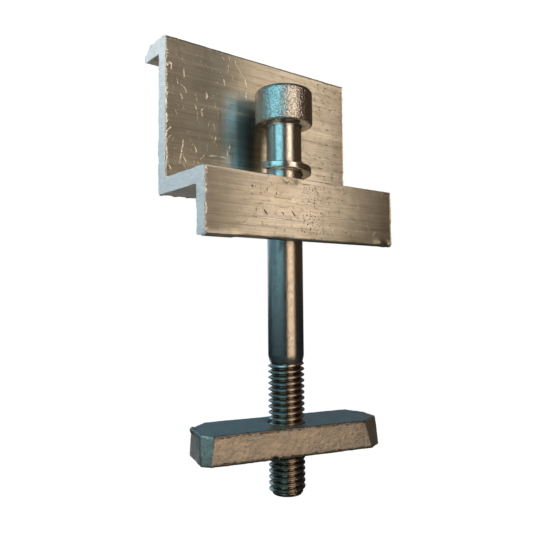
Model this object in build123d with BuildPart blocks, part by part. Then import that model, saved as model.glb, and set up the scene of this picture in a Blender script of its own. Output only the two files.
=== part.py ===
"""Solar end clamp: a Z-shaped clamp bracket held by a cap screw with a spring washer and a rail nut plate.

Millimetres. +X runs along the bracket's cut length, +Y points at the solar panel and +Z up.
The origin is the middle of the bracket's foot, where it stands on the rail.
"""
from build123d import *
from math import cos, pi, radians, sin, tan
import os

os.makedirs("parts", exist_ok=True)

# Clamp bracket, an extruded section cut to length
bracket_length = 51.0
bracket_depth = 18.5
leg_height = 12.8
panel_height = 40.0
leg_wall = 2.9
shelf_wall = 3.0
web_wall = 3.0
lip_wall = 3.0
lip_reach = 6.6
lip_bevel_height = 1.5
lip_bevel_width = 1.3
lip_nib_width = 0.9
outer_edge_radius = 0.3
inner_edge_radius = 0.5
foot_edge_radius = 0.7

# Cap screw, M8 by 80 with a part thread
screw_setback = 8.3
screw_length = 80.0
shank_diameter = 7.8
thread_diameter = 7.9
thread_length = 28.0
thread_pitch = 1.25
thread_depth = 0.77
thread_crest_width = 0.16
thread_root_width = 0.21
thread_turns_in_span = 3
thread_start_angle = 120.0
thread_end_length = 0.4
run_out_length = 1.4
run_out_diameter = 7.1
head_diameter = 12.8
head_height = 8.0
head_top_radius = 1.1
head_rim_chamfer = 0.5
neck_radius = 0.4
tip_chamfer = 0.3
hex_across_flats = 6.0
hex_depth = 4.4
drill_point_angle = 118.0
head_above_shelf = 13.3

# Spring lock washer, a cut ring of flattened wire
washer_outer_diameter = 12.0
washer_thickness = 1.6
washer_rise = 2.2
washer_gap = 0.5
washer_cut_slant = 25.0
washer_cut_angle = 168.0
washer_above_shelf = 1.1

# Rail nut plate, a cropped bar with cut corners
plate_length = 41.5
plate_width = 13.0
plate_thickness = 6.0
plate_turn = -15.0
thread_above_plate = 12.9
front_left_cut = (2.5, 2.2)
front_right_cut = (5.8, 3.8)
back_right_cut = (2.4, 4.8)
back_left_cut = (4.0, 4.2)
cut_share_below = 0.65
plate_edge_radius = 0.25
hole_mouth_chamfer = 0.3
nick_from_screw = 5.4
nick_radius = 0.55
nick_depth = 2.6

# Clearances between the pieces
screw_hole_clearance = 0.6
washer_bore_clearance = 0.2
thread_clearance = 0.05

# Heights and places that follow from the sizes above
foot_front = -leg_wall / 2
leg_back = leg_wall / 2
web_back = foot_front + bracket_depth
web_front = web_back - web_wall
shelf_underside = leg_height - shelf_wall
bracket_top = panel_height + lip_wall
lip_end = web_back + lip_reach
lip_step_height = bracket_top - lip_bevel_height
lip_step = lip_end - lip_nib_width
screw_y = foot_front + screw_setback
head_seat = leg_height + head_above_shelf
head_top = head_seat + head_height
thread_top = head_seat - (screw_length - thread_length)
screw_tip = head_seat - screw_length
plate_top = thread_top - thread_above_plate
screw_axis = Axis((0, screw_y, 0), (0, 0, 1))

# Clamp bracket: leg, shelf, web and hooked lip in one section
foot_front_corner = (foot_front, 0)
leg_shelf_corner = (leg_back, shelf_underside)
web_lip_corner = (web_back, panel_height)
web_shelf_corner = (web_front, leg_height)
inner_corners = [leg_shelf_corner, web_lip_corner, web_shelf_corner]
outer_corners = [
    (leg_back, 0),
    (web_back, shelf_underside),
    (lip_end, panel_height),
    (lip_end, lip_step_height),
    (lip_step - lip_bevel_width, bracket_top),
    (web_front, bracket_top),
    (foot_front, leg_height),
]


def corners_at(sketch, places):
    """The sketch's corners that lie at the given places."""
    return [sketch.vertices().sort_by_distance(place)[0] for place in places]


with BuildPart() as clamp_bracket:
    with BuildSketch(Plane.YZ) as section:
        with BuildLine():
            Polyline(
                foot_front_corner,
                (leg_back, 0),
                leg_shelf_corner,
                (web_back, shelf_underside),
                web_lip_corner,
                (lip_end, panel_height),
                (lip_end, lip_step_height),
                (lip_step, lip_step_height),
                (lip_step - lip_bevel_width, bracket_top),
                (web_front, bracket_top),
                web_shelf_corner,
                (foot_front, leg_height),
                close=True,
            )
        make_face()
        fillet(corners_at(section, [foot_front_corner]), foot_edge_radius)
        fillet(corners_at(section, inner_corners), inner_edge_radius)
        fillet(corners_at(section, outer_corners), outer_edge_radius)
    extrude(amount=bracket_length / 2, both=True)

    # Clearance hole for the screw, through the shelf
    with Locations((0, screw_y, leg_height)):
        Hole(shank_diameter / 2 + screw_hole_clearance, depth=shelf_wall)
clamp_bracket.part.label = "clamp_bracket"
export_step(clamp_bracket.part, "parts/clamp_bracket.step")

# Cap screw: head, plain shank, run-out and the thread's root turned about one axis
shank_radius = shank_diameter / 2
thread_radius = thread_diameter / 2
root_radius = thread_radius - thread_depth
head_radius = head_diameter / 2
ridge_width = thread_pitch - thread_root_width
ridge_sink = thread_depth / 5
ridge_start = screw_tip + tip_chamfer + ridge_width / 2
span_height = thread_turns_in_span * thread_pitch
thread_start_direction = Vector(cos(radians(thread_start_angle)), sin(radians(thread_start_angle)), 0)
ridge_room = thread_top - thread_end_length - ridge_width / 2 - ridge_start
ridge_paths = [
    Pos(0, screw_y, ridge_start + span * span_height)
    * Rot(0, 0, thread_start_angle)
    * Helix(pitch=thread_pitch, height=span_height, radius=thread_radius)
    for span in range(int(ridge_room / span_height))
]
screw_profile_plane = Plane(origin=(0, screw_y, 0), x_dir=(1, 0, 0), z_dir=(0, -1, 0))
with BuildPart() as socket_screw:
    with BuildSketch(screw_profile_plane) as screw_profile:
        with BuildLine():
            Polyline(
                (0, screw_tip),
                (root_radius - tip_chamfer, screw_tip),
                (root_radius, screw_tip + tip_chamfer),
                (root_radius, thread_top - thread_end_length),
                (run_out_diameter / 2, thread_top),
                (shank_radius, thread_top + run_out_length),
                (shank_radius, head_seat),
                (head_radius - head_rim_chamfer, head_seat),
                (head_radius, head_seat + head_rim_chamfer),
                (head_radius, head_top),
                (0, head_top),
                close=True,
            )
        make_face()
        neck_corner = screw_profile.vertices().sort_by_distance((shank_radius, head_seat))[0]
        fillet(neck_corner, neck_radius)
        top_corner = screw_profile.vertices().sort_by_distance((head_radius, head_top))[0]
        fillet(top_corner, head_top_radius)
    revolve(axis=screw_axis)

    # Right-hand thread: a ridge wound round the root, a few turns at a time
    for ridge_path in ridge_paths:
        with BuildSketch(Plane(ridge_path @ 0, thread_start_direction, ridge_path % 0)):
            with BuildLine():
                Polyline(
                    (-thread_depth - ridge_sink, -ridge_width / 2),
                    (-thread_depth, -ridge_width / 2),
                    (0, -thread_crest_width / 2),
                    (0, thread_crest_width / 2),
                    (-thread_depth, ridge_width / 2),
                    (-thread_depth - ridge_sink, ridge_width / 2),
                    close=True,
                )
            make_face()
        sweep(path=ridge_path, is_frenet=True)

    # Hexagon socket with the drill point at its bottom
    with BuildSketch(Plane((0, screw_y, head_top))):
        RegularPolygon(hex_across_flats / 2, side_count=6, major_radius=False)
    extrude(amount=-hex_depth, mode=Mode.SUBTRACT)
    point_height = hex_across_flats / 2 / tan(radians(drill_point_angle / 2))
    with Locations((0, screw_y, head_top - hex_depth)):
        Cone(
            bottom_radius=0,
            top_radius=hex_across_flats / 2,
            height=point_height,
            align=(Align.CENTER, Align.CENTER, Align.MAX),
            mode=Mode.SUBTRACT,
        )
socket_screw.part.label = "socket_screw"
export_step(socket_screw.part, "parts/socket_screw.step")

# Spring lock washer: one turn of flat wire on a left-hand rise, cut through at a slant
washer_bore_radius = shank_radius + washer_bore_clearance
washer_wire_width = washer_outer_diameter / 2 - washer_bore_radius
washer_mean_radius = washer_bore_radius + washer_wire_width / 2
washer_turn_share = 1 - washer_gap / (2 * pi * washer_mean_radius)
lower_end_height = leg_height + washer_above_shelf + washer_thickness / 2
cut_direction = Vector(cos(radians(washer_cut_angle)), sin(radians(washer_cut_angle)), 0)
across_cut = Vector(-cut_direction.Y, cut_direction.X, 0)
cut_slant = radians(washer_cut_slant)
end_face_normal = -across_cut * cos(cut_slant) - Vector(0, 0, sin(cut_slant))
washer_turn = Pos(0, screw_y, lower_end_height) * Rot(0, 0, washer_cut_angle) * Helix(
    pitch=washer_rise,
    height=washer_rise * washer_turn_share,
    radius=washer_mean_radius,
    lefthand=True,
)
with BuildPart() as lock_washer:
    with BuildSketch(Plane(origin=washer_turn @ 0, x_dir=cut_direction, z_dir=end_face_normal)):
        Rectangle(washer_wire_width, washer_thickness / cos(cut_slant))
    sweep(path=washer_turn, is_frenet=True)
lock_washer.part.label = "lock_washer"
export_step(lock_washer.part, "parts/lock_washer.step")


# Rail nut plate: the bar's corners are cropped at a slant, more above than below
def bar_outline(share):
    """The bar's outline, with this share of each corner cut off."""
    x = plate_length / 2
    y = plate_width / 2
    return [
        (-x, -y + share * front_left_cut[1]),
        (-x + share * front_left_cut[0], -y),
        (x - share * front_right_cut[0], -y),
        (x, -y + share * front_right_cut[1]),
        (x, y - share * back_right_cut[1]),
        (x - share * back_right_cut[0], y),
        (-x + share * back_left_cut[0], y),
        (-x, y - share * back_left_cut[1]),
    ]


plate_direction = Vector(cos(radians(plate_turn)), sin(radians(plate_turn)), 0)
plate_plane = Plane(origin=(0, screw_y, plate_top), x_dir=plate_direction, z_dir=(0, 0, 1))
with BuildPart() as nut_plate:
    with BuildSketch(plate_plane.offset(-plate_thickness)):
        with BuildLine():
            Polyline(*bar_outline(cut_share_below), close=True)
        make_face()
    with BuildSketch(plate_plane):
        with BuildLine():
            Polyline(*bar_outline(1.0), close=True)
        make_face()
    loft(ruled=True)
    fillet(nut_plate.edges(), plate_edge_radius)

    # Threaded hole, with its mouths broken
    nut_bore_radius = thread_radius + thread_clearance
    with Locations(plate_plane):
        Hole(nut_bore_radius)
    hole_wall = nut_plate.faces().filter_by(GeomType.CYLINDER).sort_by(SortBy.AREA)[-1]
    mouths = hole_wall.edges().filter_by(GeomType.CIRCLE)
    chamfer(mouths, hole_mouth_chamfer)

    # Nick in the lower front edge, beside the screw
    nick_plane = Plane(
        origin=plate_plane.from_local_coords((-nick_from_screw, -plate_width / 2, -plate_thickness)),
        x_dir=plate_direction,
        z_dir=plate_plane.y_dir,
    )
    with BuildSketch(nick_plane):
        Circle(nick_radius)
    extrude(amount=nick_depth, mode=Mode.SUBTRACT)
nut_plate.part.label = "nut_plate"
export_step(nut_plate.part, "parts/nut_plate.step")
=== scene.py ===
"""Looks of the solar end clamp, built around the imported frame. Metres throughout."""
import math

import bpy
from mathutils import Matrix, Vector, noise


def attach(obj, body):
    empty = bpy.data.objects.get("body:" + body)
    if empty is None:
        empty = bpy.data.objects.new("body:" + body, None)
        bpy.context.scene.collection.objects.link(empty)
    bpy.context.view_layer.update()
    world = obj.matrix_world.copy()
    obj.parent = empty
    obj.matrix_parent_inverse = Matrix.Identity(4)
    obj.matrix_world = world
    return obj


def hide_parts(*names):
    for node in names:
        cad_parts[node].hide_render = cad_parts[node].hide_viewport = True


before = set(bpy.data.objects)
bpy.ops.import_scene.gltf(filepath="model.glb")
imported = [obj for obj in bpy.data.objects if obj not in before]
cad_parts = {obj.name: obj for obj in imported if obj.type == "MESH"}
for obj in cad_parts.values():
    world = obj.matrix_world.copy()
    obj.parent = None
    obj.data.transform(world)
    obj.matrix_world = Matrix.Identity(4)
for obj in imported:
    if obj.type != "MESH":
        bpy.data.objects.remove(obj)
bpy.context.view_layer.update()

# The clamp bracket is a length of extruded aluminium with a leg, a shelf, a web and a hooked lip, sawn off
# square. Its long faces keep the fine lines of the die and the marks of handling, and the saw left a ragged
# burr around both ends, which carries a painted highlight. The web and the leg also carry painted shade,
# and the web a painted reflection of the screw.
MM = 0.001
HALF_LENGTH = 25.5
LEG_FRONT = -1.45
LEG_BACK = 1.45
WEB_FRONT = 14.05
WEB_BACK = 17.05
SHELF_LOW = 9.8
SHELF_TOP = 12.8
LIP_END = 23.65
LIP_LOW = 40
LIP_NOSE = 41.5
BRACKET_TOP = 43
# the section's corners, across the bracket and up it in millimetres, each with its rounding
SECTION = [
    ((LEG_FRONT, 0), 0.4),
    ((LEG_BACK, 0), 0.3),
    ((LEG_BACK, SHELF_LOW), 0.5),
    ((WEB_BACK, SHELF_LOW), 0.3),
    ((WEB_BACK, LIP_LOW), 0.5),
    ((LIP_END, LIP_LOW), 0.3),
    ((LIP_END, LIP_NOSE), 0.3),
    ((22.75, LIP_NOSE), 0),
    ((21.45, BRACKET_TOP), 0.3),
    ((WEB_FRONT, BRACKET_TOP), 0.3),
    ((WEB_FRONT, SHELF_TOP), 0.5),
    ((LEG_FRONT, SHELF_TOP), 0.3),
]
POINT_GAP = 0.5
END_STEPS = [0.1, 0.15, 0.25, 0.4, 0.6]
MIDDLE_STEPS = 48
SAW_BREAK = 0.22
SAME_PLACE = 0.001
PLACE_DIGITS = 3
BURR_MEAN = 0.04
BURR_LUMPS = 0.17
BURR_TEETH = 0.13
BURR_LEAST = -0.03
FACE_WAVE = 0.02
EDGE_DENTS = 0.30
EDGE_GRAIN = 0.03
FOOT_BURR = 0.30
FOOT_STEP = 0.34
WEB_RAG = 0.5
AXIS_Y = 6.85
HOLE_RADIUS = 4.5
HOLE_BREAK = 0.2
TOOL_SPARE = 1


def select_none():
    """Nothing selected, and no piece being edited."""
    if bpy.context.object and bpy.context.object.mode == "EDIT":
        bpy.ops.object.mode_set(mode="OBJECT")
    bpy.ops.object.select_all(action="DESELECT")


def take_up(piece):
    """Only this piece selected, and active."""
    select_none()
    bpy.context.view_layer.objects.active = piece
    piece.select_set(True)


def draw_line(name, points):
    """A line through points in millimetres, drawn point by point."""
    select_none()
    bpy.ops.mesh.primitive_plane_add(size=MM, location=(0, 0, 0))
    piece = bpy.context.object
    piece.name = name
    bpy.ops.object.mode_set(mode="EDIT")
    bpy.ops.mesh.merge(type="CENTER")
    bpy.ops.transform.translate(value=[c * MM for c in points[0]])
    for last, following in zip(points, points[1:]):
        step = [(b - a) * MM for a, b in zip(last, following)]
        bpy.ops.mesh.extrude_region_move(TRANSFORM_OT_translate={"value": step})
    bpy.ops.object.mode_set(mode="OBJECT")
    return piece


def rounded_outline(corners, gap):
    """Points around a section with rounded corners, no further apart than the gap."""
    arcs = []
    for number, (corner, radius) in enumerate(corners):
        here = Vector(corner)
        to_last = (Vector(corners[number - 1][0]) - here).normalized()
        to_next = (Vector(corners[(number + 1) % len(corners)][0]) - here).normalized()
        half_angle = to_last.angle(to_next) / 2
        setback = radius / math.tan(half_angle)
        centre = here + (to_last + to_next).normalized() * radius / math.sin(half_angle)
        first = here + to_last * setback - centre
        last = here + to_next * setback - centre
        turns = [0, 0.25, 0.5, 0.75, 1] if radius else [0]
        arcs.append([centre + first.lerp(last, t).normalized() * radius for t in turns])
    points = []
    for arc, next_arc in zip(arcs, arcs[1:] + arcs[:1]):
        points += arc
        run = next_arc[0] - arc[-1]
        pieces = max(1, math.ceil(run.length / gap))
        points += [arc[-1] + run * i / pieces for i in range(1, pieces)]
    return points


def turn(piece, sides, rise=0.0, turns=1, sweep=math.tau):
    """The line turned about the upright axis, with this rise in millimetres over each turn."""
    take_up(piece)
    lathe = piece.modifiers.new("lathe", "SCREW")
    lathe.axis = "Z"
    lathe.angle = sweep
    lathe.screw_offset = rise * MM
    lathe.iterations = turns
    lathe.steps = sides
    lathe.render_steps = sides
    lathe.use_merge_vertices = True
    lathe.merge_threshold = 0.002 * MM
    bpy.ops.object.modifier_apply(modifier="lathe")


def face_outwards(piece):
    """Doubles merged and faces turned outwards."""
    take_up(piece)
    bpy.ops.object.mode_set(mode="EDIT")
    bpy.ops.mesh.select_all(action="SELECT")
    bpy.ops.mesh.remove_doubles(threshold=0.004 * MM)
    bpy.ops.mesh.normals_make_consistent(inside=False)
    bpy.ops.object.mode_set(mode="OBJECT")


def settle(piece, smooth_angle):
    """The piece's place taken into its mesh, and its faces smooth up to this angle in degrees."""
    take_up(piece)
    bpy.ops.object.transform_apply(location=True, rotation=True, scale=True)
    bpy.ops.object.shade_smooth_by_angle(angle=math.radians(smooth_angle))


def combine(piece, tool, operation):
    """The tool cut from the piece or joined to it."""
    take_up(piece)
    change = piece.modifiers.new("change", "BOOLEAN")
    change.operation = operation
    change.solver = "EXACT"
    change.object = tool
    bpy.ops.object.modifier_apply(modifier="change")
    bpy.data.objects.remove(tool)


def round_cutter(name, profile, sides):
    """A round tool from its profile, a list of radii and heights in millimetres."""
    tool = draw_line(name, [(radius, 0, height) for radius, height in profile])
    turn(tool, sides)
    face_outwards(tool)
    return tool


def ripple(place, per_mm, seed):
    """Smooth random value between -1 and 1 at a place in millimetres."""
    return noise.noise(Vector(place) * per_mm + Vector((seed, seed * 0.7, -seed)))


def soft_step(value, low, high):
    """From 0 at low to 1 at high, with soft ends."""
    share = min(1, max(0, (value - low) / (high - low)))
    return share * share * (3 - 2 * share)


outline = rounded_outline(SECTION, POINT_GAP)
bracket = draw_line("bracket", [(-HALF_LENGTH, y, z) for y, z in outline])
bpy.ops.object.mode_set(mode="EDIT")
bpy.ops.mesh.select_all(action="SELECT")
bpy.ops.mesh.edge_face_add()
middle_step = (2 * HALF_LENGTH - 2 * sum(END_STEPS)) / MIDDLE_STEPS
for step in END_STEPS + [middle_step] * MIDDLE_STEPS + END_STEPS[::-1]:
    bpy.ops.mesh.extrude_region_move(TRANSFORM_OT_translate={"value": (step * MM, 0, 0)})
bpy.ops.object.mode_set(mode="OBJECT")
face_outwards(bracket)

# the sawn ends get a broken edge all round
for face in bracket.data.polygons:
    face.select = abs(face.normal.x) > 0.99
bpy.ops.object.mode_set(mode="EDIT")
bpy.ops.mesh.select_mode(type="FACE")
bpy.ops.mesh.inset(thickness=SAW_BREAK * MM)
bpy.ops.mesh.select_mode(type="VERT")
bpy.ops.object.mode_set(mode="OBJECT")


def foot_and_web_wear(place, on_edge):
    """How far the foot's front edge and the left of the web's low back edge stand out, in millimetres."""
    wear = 0
    if place.z < 0.9 and place.y < 0:
        wear += FOOT_BURR * soft_step(place.x, 19, 23) * max(0, ripple(place, 0.8, 4) + 0.35)
        wear += FOOT_STEP * soft_step(-place.x, 17.6, 18.6) * soft_step(0.6 - place.z, 0, 0.4)
    if on_edge and place.y > 16.5 and place.z < 10.5 and place.x < -17:
        wear += WEB_RAG * ripple(place, 0.9, 6)
    return wear


# the saw's ragged burr around both ends, dented long edges and faces that aren't quite flat
rim = {(round(y, PLACE_DIGITS), round(z, PLACE_DIGITS)) for y, z in outline}
bracket_normals = [vertex.normal.copy() for vertex in bracket.data.vertices]
for vertex, normal in zip(bracket.data.vertices, bracket_normals):
    place = vertex.co / MM
    if (round(place.y, PLACE_DIGITS), round(place.z, PLACE_DIGITS)) not in rim:
        continue
    if abs(place.x) > HALF_LENGTH - SAME_PLACE:
        burr = BURR_MEAN + BURR_LUMPS * max(0, ripple(place, 0.5, 3) + 0.3)
        burr += BURR_TEETH * ripple(place, 2.6, 8)
        vertex.co += normal * max(BURR_LEAST, burr) * MM
        continue
    shift = FACE_WAVE * ripple(place, 0.12, 5)
    on_edge = min(abs(normal.y), abs(normal.z)) > 0.2
    if on_edge:
        shift -= EDGE_DENTS * max(0, ripple(place, 0.4, 11) - 0.12)
        shift += EDGE_GRAIN * ripple(place, 1.7, 2)
    shift += foot_and_web_wear(place, on_edge)
    vertex.co += normal * shift * MM

hole_tool = round_cutter(
    "hole_tool",
    [
        (0, SHELF_LOW - TOOL_SPARE),
        (HOLE_RADIUS + HOLE_BREAK, SHELF_LOW - TOOL_SPARE),
        (HOLE_RADIUS + HOLE_BREAK, SHELF_LOW),
        (HOLE_RADIUS, SHELF_LOW + HOLE_BREAK),
        (HOLE_RADIUS, SHELF_TOP - HOLE_BREAK),
        (HOLE_RADIUS + HOLE_BREAK, SHELF_TOP),
        (HOLE_RADIUS + HOLE_BREAK, SHELF_TOP + TOOL_SPARE),
        (0, SHELF_TOP + TOOL_SPARE),
    ],
    64,
)
hole_tool.location.y = AXIS_Y * MM
combine(bracket, hole_tool, "DIFFERENCE")
settle(bracket, 38)

ALUMINIUM_PALE = (0.80, 0.72, 0.61, 1)
ALUMINIUM_WARM = (0.66, 0.57, 0.45, 1)
ALUMINIUM_OLIVE = (0.47, 0.43, 0.34, 1)
ALUMINIUM_DARK = (0.20, 0.165, 0.12, 1)
REFLECTION_GREY = (0.60, 0.75, 0.80, 1)
PAINTED_SHADE_BLUE = (0.05, 0.085, 0.11, 1)
PIT_BROWN = (0.06, 0.038, 0.025, 1)
SCRATCH_AND_HIGHLIGHT = (0.95, 0.91, 0.80, 1)
SAWN_PALE = (0.76, 0.74, 0.73, 1)
SAWN_DULL = (0.60, 0.60, 0.60, 1)
# where the marks are along the bracket and up it, in millimetres: the web's smudge, its cool strip that is
# a painted reflection of the screw, the part of that strip darkened by the screw's painted shadow and
# reflection, the bluish and the olive patches of painted shade to the left, and the leg's patch of pits,
# stray pits and stain
SMUDGE_ALONG = (-23, -19.5)
SMUDGE_UP = (38, 41)
SCREW_REFLECTION_ALONG = (-10.3, -4.0)
SCREW_REFLECTION_UP = (10, 31)
SCREW_SHADE_ALONG = (-7.2, -2.0)
BLUE_SHADE_ALONG = (-16, -11)
OLIVE_SHADE_ALONG = (-15, -9)
PITS_ALONG = (-1.2, 3.2)
PITS_UP = (1.5, 11.5)
STRAYS_ALONG = (-15, 12)
STAIN_ALONG = (-6.6, -3.4)
STAIN_UP = (11.5, 12.2)
# each scratch on the web: where it starts and ends along the bracket and up it, and its width, in mm
WEB_SCRATCHES = [
    (-21.3, 36.9, -21.2, 34.8, 0.17),
    (-21.0, 32.8, -20.8, 31.7, 0.10),
    (-25.1, 36.9, -24.3, 37.5, 0.30),
    (-24.3, 37.5, -24.1, 35.7, 0.22),
    (-11.2, 36.8, -10.9, 35.4, 0.22),
    (-15.6, 32.7, -15.6, 31.2, 0.26),
    (-8.3, 42.1, -7.7, 40.5, 0.10),
    (-7.7, 40.5, -5.7, 38.5, 0.12),
    (-5.7, 38.5, -4.9, 36.2, 0.19),
    (-9.8, 42.3, -9.5, 41.2, 0.16),
    (-9.9, 40.6, -10.1, 38.3, 0.09),
    (-5.2, 35.3, -5.2, 33.0, 0.13),
    (-16.5, 29.2, -17.0, 28.5, 0.13),
    (-17.0, 28.5, -16.7, 27.2, 0.16),
    (-18.6, 29.6, -18.1, 28.5, 0.14),
    (-22.1, 31.4, -21.6, 30.0, 0.16),
    (-13.3, 23.4, -13.7, 22.0, 0.20),
    (-21.3, 21.6, -21.7, 19.6, 0.15),
    (-21.7, 19.6, -22.3, 16.3, 0.17),
    (-21.4, 17.9, -20.7, 16.8, 0.14),
    (-18.5, 20.3, -18.3, 19.1, 0.17),
    (-10.2, 20.7, -10.4, 19.6, 0.22),
    (-9.7, 22.2, -9.9, 21.3, 0.16),
    (-15.2, 18.8, -13.0, 19.3, 0.12),
    (-12.6, 19.2, -10.2, 19.1, 0.14),
    (-25.4, 22.7, -24.2, 23.7, 0.16),
    (-25.2, 21.1, -24.1, 22.2, 0.12),
    (-24.8, 15.8, -24.3, 14.7, 0.16),
]
# the long pale streaks and the dark nicks on the leg, in the same way
LEG_STREAKS = [
    (-16.5, 4.1, -2.5, 3.7, 0.11),
    (-14.0, 6.6, -6.0, 6.3, 0.09),
    (-19.0, 2.6, -11.0, 2.3, 0.08),
    (-9.0, 8.3, 2.0, 8.1, 0.07),
    (4.0, 5.4, 13.0, 5.2, 0.07),
]
LEG_NICKS = [
    (-12.0, 5.6, -11.1, 4.6, 0.18),
    (-7.3, 5.4, -6.9, 4.8, 0.13),
    (-4.9, 5.9, -3.9, 4.8, 0.13),
    (-14.9, 10.2, -14.7, 9.7, 0.14),
    (-8.9, 9.3, -8.7, 8.8, 0.14),
]
STROKE_LEAN = 0.8
STROKE_BEND = 0.25
SCORE_REACH = 0.6
FAR_OFF = 9.0


def start_material(name):
    """A new node material, with its node tree and its surface shader."""
    material = bpy.data.materials.new(name)
    material.use_nodes = True
    return material, material.node_tree, material.node_tree.nodes["Principled BSDF"]


def feed(tree, value, socket):
    """A socket given a number, a colour, a vector or another node's output."""
    if isinstance(value, bpy.types.NodeSocket):
        tree.links.new(value, socket)
    else:
        socket.default_value = value


def millimetres(tree, stretch=(1, 1, 1), turned=0.0, middle=(0, 0, 0)):
    """The place on the piece in millimetres from its middle, turned about the upright and stretched."""
    place = tree.nodes.new("ShaderNodeTexCoord")
    moved = tree.nodes.new("ShaderNodeMapping")
    moved.vector_type = "TEXTURE"
    moved.inputs["Location"].default_value = [c * MM for c in middle]
    moved.inputs["Rotation"].default_value = (0, 0, math.radians(turned))
    moved.inputs["Scale"].default_value = [MM / s for s in stretch]
    tree.links.new(place.outputs["Object"], moved.inputs["Vector"])
    return moved.outputs["Vector"]


def cloud(tree, place, per_mm, detail=3.0, roughness=0.5, distortion=0.0, output="Fac"):
    """Soft random cloud with this many lumps for each millimetre, from 0 to 1."""
    node = tree.nodes.new("ShaderNodeTexNoise")
    node.inputs["Scale"].default_value = per_mm
    node.inputs["Detail"].default_value = detail
    node.inputs["Roughness"].default_value = roughness
    node.inputs["Distortion"].default_value = distortion
    tree.links.new(place, node.inputs["Vector"])
    return node.outputs[output]


def spread(tree, value, low, high, to_low=0.0, to_high=1.0):
    """The value mapped from one span to another, and held inside the second."""
    node = tree.nodes.new("ShaderNodeMapRange")
    for name, end in (("From Min", low), ("From Max", high), ("To Min", to_low), ("To Max", to_high)):
        node.inputs[name].default_value = end
    tree.links.new(value, node.inputs["Value"])
    return node.outputs["Result"]


def reckon(tree, operation, first, *others):
    """One reckoning with values, each a socket or a number, taken two at a time from the left."""
    result = first
    for value in others or (0.0,):
        node = tree.nodes.new("ShaderNodeMath")
        node.operation = operation
        feed(tree, result, node.inputs[0])
        feed(tree, value, node.inputs[1])
        result = node.outputs["Value"]
    return result


def product(tree, *values):
    """The values multiplied."""
    return reckon(tree, "MULTIPLY", *values)


def greatest(tree, *values):
    """The greatest of the values."""
    return reckon(tree, "MAXIMUM", *values)


def reckon_vector(tree, operation, first, second=None, scale=None, output="Vector"):
    """One reckoning with vectors."""
    node = tree.nodes.new("ShaderNodeVectorMath")
    node.operation = operation
    feed(tree, first, node.inputs[0])
    if second is not None:
        feed(tree, second, node.inputs[1])
    if scale is not None:
        feed(tree, scale, node.inputs["Scale"])
    return node.outputs[output]


def blend_colour(tree, share, first, second):
    """The first colour at share 0 and the second at share 1."""
    node = tree.nodes.new("ShaderNodeMix")
    node.data_type = "RGBA"
    sockets = {s.name: s for s in node.inputs if s.type == "RGBA"}
    feed(tree, first, sockets["A"])
    feed(tree, second, sockets["B"])
    feed(tree, share, node.inputs["Factor"])
    return [s for s in node.outputs if s.type == "RGBA"][0]


def part_of(tree, vector, axis):
    """One part of a vector, X, Y or Z."""
    node = tree.nodes.new("ShaderNodeSeparateXYZ")
    tree.links.new(vector, node.inputs["Vector"])
    return node.outputs[axis]


def flat_place(tree, across, up):
    """A place on a flat face, from its two measures."""
    node = tree.nodes.new("ShaderNodeCombineXYZ")
    tree.links.new(across, node.inputs["X"])
    tree.links.new(up, node.inputs["Y"])
    return node.outputs["Vector"]


def shaken(tree, place, per_mm, reach):
    """The place moved about at random by up to about half the reach, in millimetres."""
    colours = cloud(tree, place, per_mm, output="Color")
    away = reckon_vector(tree, "SUBTRACT", colours, (0.5, 0.5, 0.5))
    return reckon_vector(tree, "ADD", place, reckon_vector(tree, "SCALE", away, scale=reach))


def emboss(tree, shader, height, depth_mm):
    """Bumps up to this depth, from a height between 0 and 1."""
    node = tree.nodes.new("ShaderNodeBump")
    node.inputs["Strength"].default_value = 1.0
    node.inputs["Distance"].default_value = depth_mm * MM
    tree.links.new(height, node.inputs["Height"])
    tree.links.new(node.outputs["Normal"], shader.inputs["Normal"])


def scored(tree, flat, lines):
    """Mask of thin tapering scores on a flat face, each from a start to an end with a width."""
    nearest = FAR_OFF
    for x0, y0, x1, y1, width in lines:
        score = tree.nodes.new("ShaderNodeMapping")
        score.vector_type = "TEXTURE"
        score.inputs["Location"].default_value = ((x0 + x1) / 2, (y0 + y1) / 2, 0)
        score.inputs["Rotation"].default_value = (0, 0, math.atan2(y1 - y0, x1 - x0))
        score.inputs["Scale"].default_value = (SCORE_REACH * math.hypot(x1 - x0, y1 - y0), width, 1)
        tree.links.new(flat, score.inputs["Vector"])
        gap = reckon_vector(tree, "LENGTH", score.outputs["Vector"], output="Value")
        nearest = reckon(tree, "MINIMUM", gap, nearest)
    return spread(tree, nearest, 1.0, 0.55)


def random_cells(tree, flat, cells_per_mm):
    """Cells of random shape on a flat face."""
    cells = tree.nodes.new("ShaderNodeTexVoronoi")
    cells.voronoi_dimensions = "2D"
    cells.inputs["Scale"].default_value = cells_per_mm
    tree.links.new(flat, cells.inputs["Vector"])
    return cells


def strokes(tree, flat, cells_per_mm, length, width, share):
    """Mask of short curved scratches at random places, most of them upright, in this share of the cells."""
    cells = random_cells(tree, flat, cells_per_mm)
    offset = reckon_vector(tree, "SUBTRACT", flat, cells.outputs["Position"])
    luck = cells.outputs["Color"]
    turned = tree.nodes.new("ShaderNodeVectorRotate")
    turned.rotation_type = "Z_AXIS"
    tree.links.new(offset, turned.inputs["Vector"])
    lean = spread(tree, part_of(tree, luck, "X"), 0, 1, -STROKE_LEAN, STROKE_LEAN)
    tree.links.new(lean, turned.inputs["Angle"])
    across = part_of(tree, turned.outputs["Vector"], "X")
    along = part_of(tree, turned.outputs["Vector"], "Y")
    bend = spread(tree, part_of(tree, luck, "Y"), 0, 1, -STROKE_BEND, STROKE_BEND)
    gap = reckon(tree, "ABSOLUTE", reckon(tree, "ADD", across, product(tree, along, along, bend)))
    thin = spread(tree, gap, width / 2, width * 0.2)
    short = spread(tree, reckon(tree, "ABSOLUTE", along), length / 2, length * 0.3)
    present = spread(tree, part_of(tree, luck, "Z"), 1 - share, 1.01 - share)
    return product(tree, thin, short, present)


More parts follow.
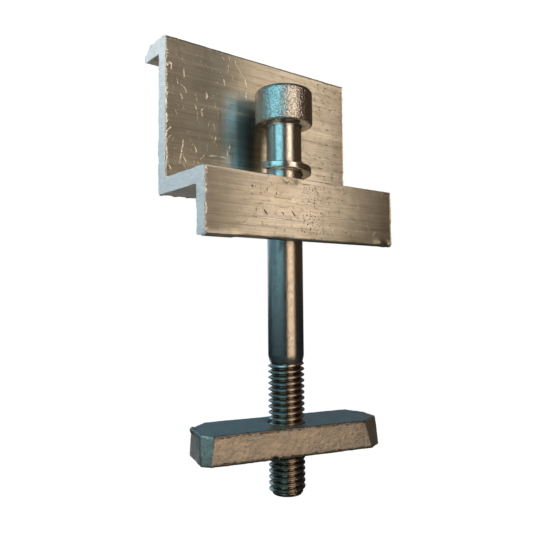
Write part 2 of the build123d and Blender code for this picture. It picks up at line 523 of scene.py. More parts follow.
def specks(tree, flat, cells_per_mm, radius, share):
    """Mask of round specks up to this radius, in this share of the cells."""
    cells = random_cells(tree, flat, cells_per_mm)
    size = spread(tree, part_of(tree, cells.outputs["Color"], "Y"), 0, 1, 0.4, 1.0)
    reach = reckon(tree, "DIVIDE", cells.outputs["Distance"], size)
    spot = spread(tree, reach, radius * cells_per_mm, radius * cells_per_mm * 0.5)
    present = spread(tree, part_of(tree, cells.outputs["Color"], "Z"), 1 - share, 1.01 - share)
    return product(tree, spot, present)


def within(tree, value, low, high, soft):
    """1 between low and high, falling to 0 over the soft width outside."""
    return product(tree, spread(tree, value, low - soft, low), spread(tree, value, high + soft, high))


def web_marks(tree, place, x, z, flat, mottle):
    """The web's front: painted shade that makes it olive to the left and darker in its middle, bright
    scratches, small dark specks, a faint smudge at its top left, and beside the screw a cool strip that is
    a painted reflection of the screw, with the screw's painted shadow and reflection darkening its part
    next to the screw."""
    # painted shade: olive and darker towards the left
    dull_and_shade = spread(tree, x, 3, -9)
    specked = product(tree, specks(tree, flat, 1.5, 0.15, 0.35), spread(tree, mottle, 0.5, 0.62))
    dashes = specks(tree, reckon_vector(tree, "MULTIPLY", flat, (0.3, 1, 1)), 1.5, 0.17, 0.6)
    region = product(tree, spread(tree, x, -1, 6), spread(tree, mottle, 0.44, 0.58))
    specked = greatest(tree, specked, product(tree, dashes, region, 0.5))
    smudged = product(tree, within(tree, x, *SMUDGE_ALONG, 1.5), within(tree, z, *SMUDGE_UP, 1))
    smudge = product(tree, smudged, spread(tree, mottle, 0.35, 0.65, 0, 0.25))
    wavy = shaken(tree, flat, 1.1, 0.5)
    broken = spread(tree, cloud(tree, flat, 2.6, detail=2.0), 0.36, 0.5)
    scores = product(tree, scored(tree, wavy, WEB_SCRATCHES), broken)
    scuffs = greatest(tree, strokes(tree, wavy, 0.42, 1.7, 0.14, 0.2), specks(tree, flat, 1.6, 0.11, 0.08))
    scuffs = greatest(tree, scuffs, strokes(tree, flat, 0.9, 0.9, 0.08, 0.14))
    bright = greatest(tree, scores, product(tree, scuffs, spread(tree, x, -4, -12)))
    # more painted shade in the web's middle, over a plain dull tone everywhere
    dull_and_shade = greatest(tree, dull_and_shade, product(tree, within(tree, x, *OLIVE_SHADE_ALONG, 5), 1.5), 0.45)
    # a painted reflection of the screw: a cool strip beside it
    cool = product(tree, within(tree, x, *SCREW_REFLECTION_ALONG, 2.0), within(tree, z, *SCREW_REFLECTION_UP, 4), 0.9)
    return dull_and_shade, greatest(tree, specked, smudge), bright, cool


def leg_marks(tree, place, x, z, flat, mottle):
    """The leg's front: pale near the screw and darker to its ends by painted shade, with dark pits and
    nicks, long pale streaks and a soft rusty stain in front of the washer."""
    # painted shade: darker towards both ends of the leg
    dull_and_shade = greatest(tree, spread(tree, x, -10, -24, 0, 0.45), spread(tree, x, 1, 13, 0, 0.85))
    region = product(tree, within(tree, x, *PITS_ALONG, 1.5), within(tree, z, *PITS_UP, 0.5))
    pits = product(tree, specks(tree, flat, 1.5, 0.19, 0.7), region, 0.8)
    region = product(tree, within(tree, x, *STRAYS_ALONG, 4), spread(tree, mottle, 0.48, 0.6))
    strays = product(tree, specks(tree, flat, 1.7, 0.17, 0.4), region)
    region = product(tree, within(tree, x, *STAIN_ALONG, 1.6), within(tree, z, *STAIN_UP, 0.7))
    rust = product(tree, region, spread(tree, cloud(tree, place, 1.6, detail=4.0), 0.40, 0.66, 0, 0.6))
    wavy = shaken(tree, flat, 1.1, 0.4)
    nicks = scored(tree, flat, LEG_NICKS)
    bright = greatest(tree, strokes(tree, wavy, 0.3, 1.4, 0.12, 0.3), scored(tree, flat, LEG_STREAKS))
    return dull_and_shade, greatest(tree, pits, strays, nicks, rust), bright, None


def plain_marks(tree, place, x, z, flat, mottle):
    """The other long faces: slightly dull, with a few specks and scratches on each face."""
    on_face = flat_place(tree, x, reckon(tree, "ADD", part_of(tree, place, "Y"), z))
    wavy = shaken(tree, on_face, 1.1, 0.5)
    dark = product(tree, specks(tree, on_face, 0.9, 0.16, 0.3), spread(tree, mottle, 0.5, 0.6))
    return 0.35, dark, strokes(tree, wavy, 0.25, 2.0, 0.12, 0.25), None


def mill_aluminium(name, make_marks):
    """Aluminium as it left the mill, with the die's lines along it, the marks, painted shade and painted
    reflection that one of its faces has, and a painted highlight on the burr.
    """
    material, tree, shader = start_material(name)
    place = millimetres(tree)
    x, z = (part_of(tree, place, axis) for axis in "XZ")
    along_die = millimetres(tree, (0.035, 1, 1))
    fine_lines = cloud(tree, along_die, 4.5, detail=4.0, roughness=0.6, distortion=0.25)
    broad_lines = cloud(tree, millimetres(tree, (0.02, 1, 1)), 0.9, detail=3.0)
    stain = cloud(tree, place, 0.13, detail=5.0, roughness=0.62)
    mottle = cloud(tree, place, 0.9, detail=4.0, roughness=0.6)
    dull_and_shade, dark, bright, cool = make_marks(tree, place, x, z, flat_place(tree, x, z), mottle)

    # the burr at the sawn ends carries a painted highlight, strongest at the left, and the web's top front
    # edge is dark
    from_end = reckon(tree, "SUBTRACT", HALF_LENGTH, reckon(tree, "ABSOLUTE", x))
    rag = spread(tree, cloud(tree, place, 1.6, detail=3.0), 0.3, 0.7, -0.35, 0.45)
    burr = spread(tree, reckon(tree, "ADD", from_end, rag), 0.35, 0.15)
    bright = greatest(tree, bright, product(tree, burr, spread(tree, x, 0, -1, 0.3, 1)))
    near_front = spread(tree, part_of(tree, place, "Y"), WEB_FRONT + 0.75, WEB_FRONT + 0.45)
    top_edge = product(tree, spread(tree, z, BRACKET_TOP - 0.5, BRACKET_TOP - 0.25), near_front)

    # the dull tone and any painted shade, broken up by the stain, turn the colour olive
    dull_and_shade = product(tree, dull_and_shade, spread(tree, stain, 0.3, 0.6, 0.7, 1.0))
    colour = blend_colour(tree, spread(tree, stain, 0.35, 0.65), ALUMINIUM_PALE, ALUMINIUM_WARM)
    colour = blend_colour(tree, dull_and_shade, colour, ALUMINIUM_OLIVE)
    # on the web: the screw's painted reflection as a cool grey strip, the screw's painted shadow and
    # reflection darkening its part next to the screw, and bluish painted shade further left
    if cool:
        colour = blend_colour(tree, cool, colour, REFLECTION_GREY)
        painted_shade = product(tree, cool, within(tree, x, *SCREW_SHADE_ALONG, 1.5), 0.75)
        painted_shade = greatest(tree, painted_shade, product(tree, within(tree, x, *BLUE_SHADE_ALONG, 4), 0.3))
        colour = blend_colour(tree, painted_shade, colour, PAINTED_SHADE_BLUE)
    for value, span, coat in (
        (fine_lines, (0.45, 0.75, 0, 0.45), ALUMINIUM_DARK),
        (broad_lines, (0.52, 0.75, 0, 0.3), ALUMINIUM_DARK),
        (mottle, (0.55, 0.8, 0, 0.35), ALUMINIUM_OLIVE),
        (broad_lines, (0.44, 0.30, 0, 0.45), ALUMINIUM_PALE),
    ):
        colour = blend_colour(tree, spread(tree, value, *span), colour, coat)
    colour = blend_colour(tree, greatest(tree, product(tree, dark, 0.85), top_edge), colour, PIT_BROWN)
    colour = blend_colour(tree, product(tree, bright, 0.9), colour, SCRATCH_AND_HIGHLIGHT)
    tree.links.new(colour, shader.inputs["Base Color"])

    shader.inputs["Metallic"].default_value = 0.97
    shader.inputs["Anisotropic"].default_value = 1.0
    tangent = tree.nodes.new("ShaderNodeTangent")
    tangent.direction_type = "RADIAL"
    tangent.axis = "X"
    tree.links.new(tangent.outputs["Tangent"], shader.inputs["Tangent"])
    rough = spread(tree, reckon(tree, "ADD", broad_lines, mottle), 0.7, 1.3, 0.30, 0.38)
    rough = reckon(tree, "SUBTRACT", rough, product(tree, bright, 0.08))
    tree.links.new(rough, shader.inputs["Roughness"])
    relief = reckon(tree, "ADD", product(tree, fine_lines, 0.22), product(tree, mottle, 0.12))
    relief = reckon(tree, "SUBTRACT", relief, dark, product(tree, bright, 0.4))
    emboss(tree, shader, relief, 0.06)
    return material


sawn_aluminium, tree, shader = start_material("sawn_aluminium")
saw_marks = cloud(tree, millimetres(tree, (1, 0.25, 1)), 2.4, detail=4.0, roughness=0.6)
colour = blend_colour(tree, spread(tree, saw_marks, 0.35, 0.7), SAWN_PALE, SAWN_DULL)
tree.links.new(colour, shader.inputs["Base Color"])
shader.inputs["Metallic"].default_value = 0.35
tree.links.new(spread(tree, saw_marks, 0.3, 0.7, 0.5, 0.65), shader.inputs["Roughness"])
emboss(tree, shader, saw_marks, 0.03)
bracket.data.materials.append(mill_aluminium("mill_aluminium", plain_marks))
bracket.data.materials.append(mill_aluminium("mill_aluminium_web", web_marks))
bracket.data.materials.append(mill_aluminium("mill_aluminium_leg", leg_marks))
bracket.data.materials.append(sawn_aluminium)
ON_WEB, ON_LEG, ON_SAWN_END = 1, 2, 3
for face in bracket.data.polygons:
    if abs(face.normal.x) > 0.95:
        face.material_index = ON_SAWN_END
    elif face.normal.y < -0.85:
        face.material_index = ON_WEB if face.center.y > AXIS_Y * MM else ON_LEG
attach(bracket, "bracket")
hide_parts("clamp_bracket")

# The cap screw is stainless steel, its head and shank forged and its thread rolled, right-hand, M8 by 1.25.
# It hangs through the shelf's clearance hole with the washer on its shank and the plate on its thread.
HEAD_TOP = 34.1
HEAD_SEAT = 26.1
HEAD_RADIUS = 6.4
HEAD_ROUNDING = 1.1
SEAT_ROUNDING = 0.55
THREAD_TOP = -25.9
SCREW_TIP = -53.9
SHANK_RADIUS = 3.9
CREST_RADIUS = 3.95
ROOT_RADIUS = 3.17
NECK_RADIUS = 3.55
PITCH = 1.25
CREST_HEIGHT = 0.40
THREAD_SIDES = 64
THREAD_TURNS = 26
THREAD_FADE_TOP = -25.2
TIP_FADE = 0.9
TIP_TAPER = 0.8
SIDES = 96
SOCKET_RING = 4.0
SOCKET_APOTHEM = 3.0
SOCKET_BREAK = 0.15
SOCKET_DEPTH = 4.4
SOCKET_CONE = 1.75


def rounded_corner(centre, radius, start, end, count=5):
    """Points of an arc in the screw's outline, with angles in degrees from straight outwards."""
    angles = [math.radians(start + (end - start) * i / count) for i in range(count + 1)]
    return [(centre[0] + radius * math.cos(a), centre[1] + radius * math.sin(a)) for a in angles]


# the body's outline goes from inside the thread up the neck and the shank, and around the head
seat_corner = (HEAD_RADIUS - SEAT_ROUNDING, HEAD_SEAT + SEAT_ROUNDING)
top_corner = (HEAD_RADIUS - HEAD_ROUNDING, HEAD_TOP - HEAD_ROUNDING)
body_line = [
    (0, THREAD_TOP - 0.6),
    (2.9, THREAD_TOP - 0.6),
    (3.0, THREAD_TOP),
    (NECK_RADIUS, THREAD_TOP),
    (3.7, THREAD_TOP + 0.55),
    (3.82, THREAD_TOP + 1.0),
    (SHANK_RADIUS, THREAD_TOP + 1.6),
    (SHANK_RADIUS, HEAD_SEAT - 0.5),
    (3.93, HEAD_SEAT - 0.25),
    (4.05, HEAD_SEAT - 0.08),
    (4.25, HEAD_SEAT),
    (5.7, HEAD_SEAT),
    *rounded_corner(seat_corner, SEAT_ROUNDING, -90, 0),
    *rounded_corner(top_corner, HEAD_ROUNDING, 0, 90, 8),
    (SOCKET_RING, HEAD_TOP),
]
screw = draw_line("cap_screw", [(r, 0, z) for r, z in body_line])
turn(screw, SIDES)

# the hexagon socket goes down from the middle of the head's top
bpy.ops.object.mode_set(mode="EDIT")
bpy.ops.mesh.select_mode(type="EDGE")
bpy.ops.mesh.select_all(action="DESELECT")
bpy.ops.object.mode_set(mode="OBJECT")
for edge in screw.data.edges:
    ends = [screw.data.vertices[i].co / MM for i in edge.vertices]
    at_top = all(abs(p.z - HEAD_TOP) < SAME_PLACE for p in ends)
    edge.select = at_top and all(abs(p.xy.length - SOCKET_RING) < 0.01 for p in ends)
bpy.ops.object.mode_set(mode="EDIT")


def pull_to_hexagon(apothem):
    """The selected ring of points pulled to a hexagon of this apothem in millimetres."""
    bpy.ops.object.mode_set(mode="OBJECT")
    for vertex in screw.data.vertices:
        if vertex.select:
            angle = math.atan2(vertex.co.y, vertex.co.x)
            off_flat = (angle + math.pi / 6) % (math.pi / 3) - math.pi / 6
            radius = apothem * MM / math.cos(off_flat)
            vertex.co.x = radius * math.cos(angle)
            vertex.co.y = radius * math.sin(angle)
    bpy.ops.object.mode_set(mode="EDIT")


def extrude_down(depth_mm):
    """The selected ring drawn downwards by this depth."""
    bpy.ops.mesh.extrude_region_move(TRANSFORM_OT_translate={"value": (0, 0, -depth_mm * MM)})


extrude_down(0)
pull_to_hexagon(SOCKET_APOTHEM + SOCKET_BREAK)
extrude_down(SOCKET_BREAK)
pull_to_hexagon(SOCKET_APOTHEM)
extrude_down(SOCKET_DEPTH - SOCKET_BREAK)
extrude_down(SOCKET_CONE)
bpy.ops.mesh.merge(type="CENTER")
bpy.ops.mesh.select_mode(type="VERT")
bpy.ops.object.mode_set(mode="OBJECT")
face_outwards(screw)

# the thread: one pitch of its outline, wound up the axis, then cut off and faded at both ends
half = PITCH / 2
flank = [
    (ROOT_RADIUS, 0),
    (ROOT_RADIUS + 0.05, 0.1),
    (CREST_RADIUS - 0.04, half - 0.11),
    (CREST_RADIUS, half - 0.06),
    (CREST_RADIUS, half + 0.06),
    (CREST_RADIUS - 0.04, half + 0.11),
    (ROOT_RADIUS + 0.05, PITCH - 0.1),
    (ROOT_RADIUS, PITCH),
]
thread_low = SCREW_TIP + CREST_HEIGHT - half - 2 * PITCH
thread = draw_line("thread", [(r, 0, z + thread_low) for r, z in flank])
turn(thread, THREAD_SIDES, PITCH, THREAD_TURNS)
face_outwards(thread)
bpy.ops.object.mode_set(mode="EDIT")
for height, outwards in ((SCREW_TIP, -1), (THREAD_FADE_TOP, 1)):
    bpy.ops.mesh.select_all(action="SELECT")
    bpy.ops.mesh.bisect(
        plane_co=(0, 0, height * MM),
        plane_no=(0, 0, outwards),
        use_fill=True,
        clear_outer=True,
        threshold=1e-7,
    )
bpy.ops.object.mode_set(mode="OBJECT")
for vertex in thread.data.vertices:
    height = vertex.co.z / MM
    radius = vertex.co.xy.length / MM
    if radius < 1:
        continue
    into_neck = soft_step(height, THREAD_TOP - 0.7, THREAD_FADE_TOP - 0.1)
    out_of_root = soft_step(height, THREAD_TOP - 1.1, THREAD_FADE_TOP)
    widest = CREST_RADIUS - TIP_TAPER * soft_step(SCREW_TIP + TIP_FADE - height, 0, TIP_FADE)
    widest += (NECK_RADIUS + 0.04 - CREST_RADIUS) * into_neck
    narrowest = ROOT_RADIUS + (NECK_RADIUS - 0.02 - ROOT_RADIUS) * out_of_root
    held = min(max(radius, narrowest), widest)
    vertex.co.x *= held / radius
    vertex.co.y *= held / radius
face_outwards(thread)
combine(screw, thread, "UNION")
screw.location.y = AXIS_Y * MM
settle(screw, 28)

STEEL = (0.60, 0.575, 0.53, 1)
STEEL_DARK = (0.34, 0.315, 0.28, 1)
GROOVE_SHADE_BROWN = (0.20, 0.135, 0.09, 1)
GROOVE_FROM = 3.72
GROOVE_FULL = 3.35
PEBBLE_STRENGTH = 2.8


def steel_material(name, grain_depth):
    """Stainless steel with a fine grain, a pebbled skin on the screw's head and painted shade in the
    thread's grooves.
    """
    material, tree, shader = start_material(name)
    place = millimetres(tree, middle=(0, AXIS_Y, 0))
    grain = cloud(tree, place, 4.2, detail=3.0, roughness=0.6)
    patches = cloud(tree, place, 0.8, detail=3.0)
    on_head = spread(tree, part_of(tree, place, "Z"), HEAD_SEAT, HEAD_SEAT + 0.3)
    pebble = cloud(tree, place, 2.0, detail=2.5, roughness=0.65)
    pebbled = product(tree, pebble, on_head, PEBBLE_STRENGTH)
    height = reckon(tree, "ADD", pebbled, product(tree, grain, 0.4))
    colour = blend_colour(tree, spread(tree, grain, 0.45, 0.75), STEEL, STEEL_DARK)
    colour = blend_colour(tree, spread(tree, patches, 0.5, 0.8, 0, 0.4), colour, STEEL_DARK)
    # painted shade: darker brown towards the thread's roots and in the neck, broken up by the grain
    sideways = reckon_vector(tree, "MULTIPLY", place, (1, 1, 0))
    from_axis = reckon_vector(tree, "LENGTH", sideways, output="Value")
    shade_grain = spread(tree, grain, 0.3, 0.5, 0.75, 1.0)
    groove_shade = product(tree, spread(tree, from_axis, GROOVE_FROM, GROOVE_FULL), shade_grain)
    colour = blend_colour(tree, groove_shade, colour, GROOVE_SHADE_BROWN)
    tree.links.new(colour, shader.inputs["Base Color"])
    shader.inputs["Metallic"].default_value = 1.0
    tree.links.new(spread(tree, patches, 0.3, 0.7, 0.17, 0.27), shader.inputs["Roughness"])
    emboss(tree, shader, height, grain_depth)
    return material


screw.data.materials.append(steel_material("stainless_steel", 0.07))
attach(screw, "screw")
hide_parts("socket_screw")

# The spring washer is one turn of flat stainless wire, cut through at a slant and sprung, so that one cut
# end stands higher than the other. It hangs loose on the shank, just above the shelf.
WASHER_BORE = 4.1
WASHER_OUTSIDE = 6.0
WASHER_LOW = 13.9
WASHER_THICKNESS = 1.6
WASHER_TAPER = 0.06
WASHER_RISE = 2.2
WASHER_GAP = 0.5
WASHER_CUT_ANGLE = 168.0
WASHER_CUT_SLANT = 25.0
WASHER_WAVE = 0.04
washer_section = [
    ((WASHER_BORE, WASHER_LOW), 0.18),
    ((WASHER_OUTSIDE, WASHER_LOW + WASHER_TAPER), 0.28),
    ((WASHER_OUTSIDE, WASHER_LOW + WASHER_THICKNESS - WASHER_TAPER), 0.28),
    ((WASHER_BORE, WASHER_LOW + WASHER_THICKNESS), 0.18),
]
wire = [(r, 0, z) for r, z in rounded_outline(washer_section, 0.6)]
washer = draw_line("spring_washer", wire + wire[:1])
face_outwards(washer)
turned_share = 1 - WASHER_GAP / (math.pi * (WASHER_BORE + WASHER_OUTSIDE))
turn(washer, SIDES, WASHER_RISE * turned_share, 1, -math.tau * turned_share)

# both cut ends are closed, each by one face, and then slanted
last_angle = math.tau * (1 - turned_share)
for at_start in (True, False):
    bpy.ops.object.mode_set(mode="EDIT")
    bpy.ops.mesh.select_all(action="DESELECT")
    bpy.ops.mesh.select_non_manifold(extend=False)
    bpy.ops.object.mode_set(mode="OBJECT")
    for vertex in washer.data.vertices:
        starts = abs(vertex.co.y) < 1e-7 and vertex.co.x > 0
        vertex.select = vertex.select and starts == at_start
    for edge in washer.data.edges:
        edge.select = all(washer.data.vertices[i].select for i in edge.vertices)
    bpy.ops.object.mode_set(mode="EDIT")
    bpy.ops.mesh.edge_face_add()
    bpy.ops.object.mode_set(mode="OBJECT")
for vertex in washer.data.vertices:
    angle = math.atan2(vertex.co.y, vertex.co.x) % math.tau
    turned_by = math.tau - angle if angle > 1e-4 else 0
    past_end = min(turned_by, abs(angle - last_angle))
    radius = vertex.co.xy.length
    middle = (WASHER_LOW + WASHER_THICKNESS / 2 + WASHER_RISE * turned_by / math.tau) * MM
    lag = (middle - vertex.co.z) * math.tan(math.radians(WASHER_CUT_SLANT)) / radius
    angle += lag * (1 - soft_step(past_end, 0, 0.5))
    vertex.co.x = radius * math.cos(angle)
    vertex.co.y = radius * math.sin(angle)
    vertex.co.z += WASHER_WAVE * ripple(vertex.co / MM, 0.5, 7) * MM
face_outwards(washer)
washer.rotation_euler.z = math.radians(WASHER_CUT_ANGLE)
washer.location.y = AXIS_Y * MM
settle(washer, 30)
washer.data.materials.append(steel_material("rolled_wire_steel", 0.04))
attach(washer, "washer")
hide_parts("lock_washer")

# The nut plate is a piece of flat steel bar, cropped to length with its four corners cut off and tapped M8.
# Its faces are as rolled, dull and blotched, its edges are chipped, and it runs on the screw's thread.
PLATE_LENGTH = 41.5
PLATE_WIDTH = 13.0
PLATE_THICKNESS = 6.0
PLATE_TOP = -38.8
PLATE_TURN = -15.0
# how much each corner's cut takes off along the bar and across it, at the bar's top
FRONT_LEFT_CUT = (2.5, 2.2)
FRONT_RIGHT_CUT = (5.0, 3.8)
BACK_RIGHT_CUT = (2.4, 4.8)
BACK_LEFT_CUT = (4.0, 4.2)
CUT_SHARE_BELOW = 0.65
NUT_BORE = 4.0
MOUTH_CHAMFER = 0.3
NICK_PLACE = (-5.4, -6.5, -6.0)
NICK_RADIUS = 0.55
NICK_DEPTH = 2.6
PLATE_MESH = 0.24
EDGE_FACING = 0.93
EDGE_CHIPS = 0.28
EDGE_TEETH = 0.06
TORN_CORNER = Vector((-PLATE_LENGTH / 2, 1.6, 0.0))
TORN_OUT = 0.45


def bar_outline(share):
    """The bar's outline in millimetres, with this share of each corner's cut taken off."""
    x, y = PLATE_LENGTH / 2, PLATE_WIDTH / 2
    return [
        (-x, -y + share * FRONT_LEFT_CUT[1]),
        (-x + share * FRONT_LEFT_CUT[0], -y),
        (x - share * FRONT_RIGHT_CUT[0], -y),
        (x, -y + share * FRONT_RIGHT_CUT[1]),
        (x, y - share * BACK_RIGHT_CUT[1]),
        (x - share * BACK_RIGHT_CUT[0], y),
        (-x + share * BACK_LEFT_CUT[0], y),
        (-x, y - share * BACK_LEFT_CUT[1]),
    ]


low_outline = bar_outline(CUT_SHARE_BELOW)
plate = draw_line("rail_nut_plate", [(x, y, -PLATE_THICKNESS) for x, y in low_outline])
bpy.ops.object.mode_set(mode="EDIT")
bpy.ops.mesh.select_all(action="SELECT")
bpy.ops.mesh.edge_face_add()
bpy.ops.mesh.extrude_region_move(TRANSFORM_OT_translate={"value": (0, 0, PLATE_THICKNESS * MM)})
bpy.ops.object.mode_set(mode="OBJECT")
for vertex in plate.data.vertices:
    if vertex.co.z > -0.5 * MM:
        gaps = [(vertex.co.xy / MM - Vector(corner)).length for corner in low_outline]
        corner = bar_outline(1.0)[gaps.index(min(gaps))]
        vertex.co.x, vertex.co.y = corner[0] * MM, corner[1] * MM
face_outwards(plate)

# a small round nick in the low front edge
nick_profile = [(0, -TOOL_SPARE), (NICK_RADIUS, -TOOL_SPARE), (NICK_RADIUS, NICK_DEPTH), (0, NICK_DEPTH)]
nick_tool = round_cutter("nick_tool", nick_profile, 24)
nick_tool.rotation_euler.x = math.radians(-90)
nick_tool.location = [c * MM for c in NICK_PLACE]
combine(plate, nick_tool, "DIFFERENCE")

# worn skin: eased corners, slightly uneven faces, chipped edges and one corner torn out
take_up(plate)
skin = plate.modifiers.new("skin", "REMESH")
skin.mode = "VOXEL"
skin.voxel_size = PLATE_MESH * MM
bpy.ops.object.modifier_apply(modifier="skin")
ease = plate.modifiers.new("ease", "SMOOTH")
ease.factor = 0.5
ease.iterations = 3
bpy.ops.object.modifier_apply(modifier="ease")
ring = [Vector(corner) for corner in low_outline]
facets = [Vector((0, 0, 1)), Vector((0, 0, -1))]
facets += [Vector((b.y - a.y, a.x - b.x, 0)).normalized() for a, b in zip(ring, ring[1:] + ring[:1])]
plate_normals = [vertex.normal.copy() for vertex in plate.data.vertices]
for vertex, normal in zip(plate.data.vertices, plate_normals):
    place = vertex.co / MM
    shift = 0.05 * ripple(place, 0.35, 1) + 0.025 * ripple(place, 1.8, 9)
    if max(normal.dot(facet) for facet in facets) < EDGE_FACING:
        shift -= EDGE_CHIPS * max(0, ripple(place, 0.75, 14))
        shift += EDGE_TEETH * ripple(place, 2.3, 21)
    shift += TORN_OUT * (1 - soft_step((place - TORN_CORNER).length, 0.3, 1.3))
    vertex.co += normal * shift * MM

bore_tool = round_cutter(
    "bore_tool",
    [
        (0, TOOL_SPARE),
        (NUT_BORE + MOUTH_CHAMFER, TOOL_SPARE),
        (NUT_BORE + MOUTH_CHAMFER, 0),
        (NUT_BORE, -MOUTH_CHAMFER),
        (NUT_BORE, MOUTH_CHAMFER - PLATE_THICKNESS),
        (NUT_BORE + MOUTH_CHAMFER, -PLATE_THICKNESS),
        (NUT_BORE + MOUTH_CHAMFER, -PLATE_THICKNESS - TOOL_SPARE),
        (0, -PLATE_THICKNESS - TOOL_SPARE),
    ],
    64,
)
combine(plate, bore_tool, "DIFFERENCE")
plate.rotation_euler.z = math.radians(PLATE_TURN)
plate.location = (0, AXIS_Y * MM, PLATE_TOP * MM)
settle(plate, 40)

BAR_PALE = (0.49, 0.42, 0.35, 1)
BAR_GREY = (0.39, 0.35, 0.31, 1)
BAR_DARK = (0.07, 0.058, 0.048, 1)


def gap_to_front_edge(tree, across, above):
    """How far a place is from a long front edge of the plate that is this far above or below it."""
    behind = reckon(tree, "ADD", across, PLATE_WIDTH / 2)
    squares = reckon(tree, "ADD", reckon(tree, "POWER", behind, 2), reckon(tree, "POWER", above, 2))
    return reckon(tree, "SQRT", squares)


bar_steel, tree, shader = start_material("rolled_bar_steel")
place = millimetres(tree, turned=PLATE_TURN, middle=(0, AXIS_Y, PLATE_TOP))
across, up = (part_of(tree, place, axis) for axis in "YZ")
blotch = cloud(tree, place, 0.28, detail=6.0, roughness=0.65)
mottle = cloud(tree, place, 1.3, detail=4.0, roughness=0.65)
grit = cloud(tree, place, 4.5, detail=3.0)
colour = blend_colour(tree, spread(tree, blotch, 0.4, 0.62), BAR_PALE, BAR_GREY)
colour = blend_colour(tree, spread(tree, mottle, 0.52, 0.72, 0, 0.6), colour, BAR_GREY)
top_edge_gap = gap_to_front_edge(tree, across, up)
low_edge_gap = gap_to_front_edge(tree, across, reckon(tree, "ADD", up, PLATE_THICKNESS))
edge_gap = reckon(tree, "MINIMUM", top_edge_gap, low_edge_gap)
ragged = spread(tree, mottle, 0.3, 0.7, -0.35, 0.35)
edge_line = spread(tree, reckon(tree, "ADD", edge_gap, ragged), 0.6, 0.3)
chips = product(tree, spread(tree, grit, 0.6, 0.7), spread(tree, mottle, 0.5, 0.6))
dark = greatest(tree, product(tree, edge_line, 0.85), product(tree, chips, 0.7))
colour = blend_colour(tree, dark, colour, BAR_DARK)
tree.links.new(colour, shader.inputs["Base Color"])
shader.inputs["Metallic"].default_value = 0.8
tree.links.new(spread(tree, mottle, 0.3, 0.7, 0.30, 0.42), shader.inputs["Roughness"])
relief = reckon(tree, "ADD", product(tree, grit, 0.5), mottle)
relief = reckon(tree, "SUBTRACT", relief, dark)
emboss(tree, shader, relief, 0.045)
plate.data.materials.append(bar_steel)
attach(plate, "nut")
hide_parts("nut_plate")

# The studio has a pale floor well below the clamp, a pale backdrop and plain soft lamps: a cool window to
# the left, warm lamps to the right, and four that fill in the bracket alone. The camera's place, aim and
# lens were fitted to the view that the photo has.
CAMERA_PLACE = Vector((-79.248, -90.652, -11.464)) * MM
CAMERA_LOOKS_AT = Vector((-5.160, 6.850, -5.185)) * MM
CAMERA_ROLL = -0.48
CAMERA_LENS = 38.503
camera_data = bpy.data.cameras.new("camera")
camera_data.lens = CAMERA_LENS
camera_data.sensor_width = 36
camera_data.clip_start = 0.005
camera_data.clip_end = 20
camera = bpy.data.objects.new("camera", camera_data)
bpy.context.scene.collection.objects.link(camera)
camera.location = CAMERA_PLACE
view_turn = (CAMERA_LOOKS_AT - CAMERA_PLACE).to_track_quat("-Z", "Y").to_matrix().to_4x4()
camera.rotation_euler = (view_turn @ Matrix.Rotation(math.radians(CAMERA_ROLL), 4, "Z")).to_euler()
bpy.context.scene.camera = camera
bpy.context.scene.view_settings.view_transform = "Standard"

LAMP_DISTANCE = 0.5
# each lamp's name, its bearing, elevation, width and height in degrees, its strength and its colour
ROOM_LAMPS = [
    ("window_lamp", 199, 27, 44, 46, 1.75, (0.34, 0.83, 1.0)),
    ("low_window_lamp", 176, -5, 96, 8, 0.42, (0.5, 0.88, 1.0)),
    ("warm_lamp", 268, 26, 25, 40, 2.7, (1.0, 0.87, 0.73)),
    ("low_warm_lamp", 267, -8, 42, 28, 1.45, (1.0, 0.75, 0.52)),
    ("rear_lamp", 100, 14, 52, 26, 0.5, (0.62, 0.88, 1.0)),
]
BRACKET_LAMPS = [
    ("side_lamp", 310, 12, 15, 34, 2.05, (1.0, 0.88, 0.73)),
    ("upper_side_lamp", 322, 56, 26, 20, 2.2, (1.0, 0.93, 0.82)),
    ("end_lamp", 174, 42, 62, 38, 1.6, (1.0, 0.87, 0.78)),
    ("back_lamp", 86, 40, 100, 34, 2.4, (1.0, 0.98, 0.95)),
]


def direction(bearing, elevation):
    """The direction with this bearing from the +X axis and this elevation, in degrees."""
    level = math.cos(math.radians(elevation))
    turned = math.radians(bearing)
    return Vector((math.cos(turned) * level, math.sin(turned) * level, math.sin(math.radians(elevation))))


def hang_lamp(name, bearing, elevation, width, tall, radiance, colour):
    """A soft flat lamp that faces the clamp, with its width and height in degrees as the clamp sees it."""
    lamp_data = bpy.data.lights.new(name, "AREA")
    lamp_data.shape = "RECTANGLE"
    lamp_data.size = 2 * LAMP_DISTANCE * math.tan(math.radians(width / 2))
    lamp_data.size_y = 2 * LAMP_DISTANCE * math.tan(math.radians(tall / 2))
    lamp_data.energy = radiance * math.pi * lamp_data.size * lamp_data.size_y
    lamp_data.color = colour
    lamp = bpy.data.objects.new(name, lamp_data)
    bpy.context.scene.collection.objects.link(lamp)
    lamp.location = direction(bearing, elevation) * LAMP_DISTANCE
    lamp.rotation_euler = (-lamp.location).to_track_quat("-Z", "Y").to_euler()
    return lamp


for setting in ROOM_LAMPS:
    hang_lamp(*setting)

# the bracket's own lamps are flagged off the steel pieces, so that only the bracket has their light
flagged = bpy.data.collections.new("flagged_lamps_reach")
flagged.objects.link(bracket)
for setting in BRACKET_LAMPS:
    hang_lamp(*setting).light_linking.receiver_collection = flagged

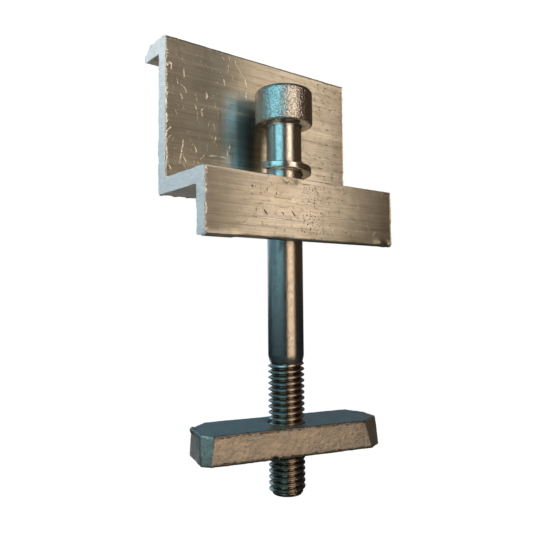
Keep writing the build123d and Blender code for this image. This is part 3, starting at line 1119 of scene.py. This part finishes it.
# away from the lamps the metal sees a dim room, blue behind and to the left and brown to the right, and the
# backdrop and the floor behind the clamp are white to it only in part; to the camera all of it is white
WHITE = (1, 1, 1, 1)
ROOM_BLUE = (0.095, 0.20, 0.285, 1)
ROOM_BROWN = (0.075, 0.045, 0.027, 1)
BLUE_SIDE = direction(125, 0)
BACKDROP_MIDDLE = direction(79, 0)
world = bpy.data.worlds.new("studio")
world.use_nodes = True
bpy.context.scene.world = world
tree = world.node_tree
background = tree.nodes["Background"]
towards = tree.nodes.new("ShaderNodeTexCoord").outputs["Generated"]
leftness = reckon_vector(tree, "DOT_PRODUCT", towards, BLUE_SIDE, output="Value")
room = blend_colour(tree, spread(tree, leftness, -0.35, 0.35), ROOM_BROWN, ROOM_BLUE)
backdrop = reckon_vector(tree, "DOT_PRODUCT", towards, BACKDROP_MIDDLE, output="Value")
ray = tree.nodes.new("ShaderNodeLightPath")
in_metal = product(tree, ray.outputs["Is Glossy Ray"], spread(tree, backdrop, 0.985, 0.995))
shown = greatest(tree, ray.outputs["Is Camera Ray"], ray.outputs["Is Transmission Ray"], in_metal)
tree.links.new(blend_colour(tree, shown, room, WHITE), background.inputs["Color"])

FLOOR_SIZE = 8
FLOOR_LEVEL = -0.2
FLOOR_GREY = (0.09, 0.09, 0.09, 1)
FLOOR_PALER = (0.11, 0.11, 0.11, 1)
PATCH_MIDDLE = (203, 554, 0)
select_none()
bpy.ops.mesh.primitive_plane_add(size=FLOOR_SIZE, location=(0, 0, FLOOR_LEVEL))
floor = bpy.context.object
floor.name = "floor"
pale_floor, tree, shader = start_material("pale_floor")
place = millimetres(tree)
floor_grey = blend_colour(tree, cloud(tree, place, 0.05), FLOOR_GREY, FLOOR_PALER)
tree.links.new(floor_grey, shader.inputs["Base Color"])
shader.inputs["Roughness"].default_value = 0.9
ray = tree.nodes.new("ShaderNodeLightPath")
from_patch = reckon_vector(tree, "DISTANCE", place, PATCH_MIDDLE, output="Value")
in_metal = product(tree, ray.outputs["Is Glossy Ray"], spread(tree, from_patch, 260, 160))
seen = greatest(tree, ray.outputs["Is Camera Ray"], ray.outputs["Is Transmission Ray"])
from_clamp = reckon_vector(tree, "LENGTH", place, output="Value")
seen = product(tree, seen, spread(tree, from_clamp, 120, 230, 0.9, 1.0))
shader.inputs["Emission Color"].default_value = WHITE
tree.links.new(greatest(tree, seen, in_metal), shader.inputs["Emission Strength"])
floor.data.materials.append(pale_floor)
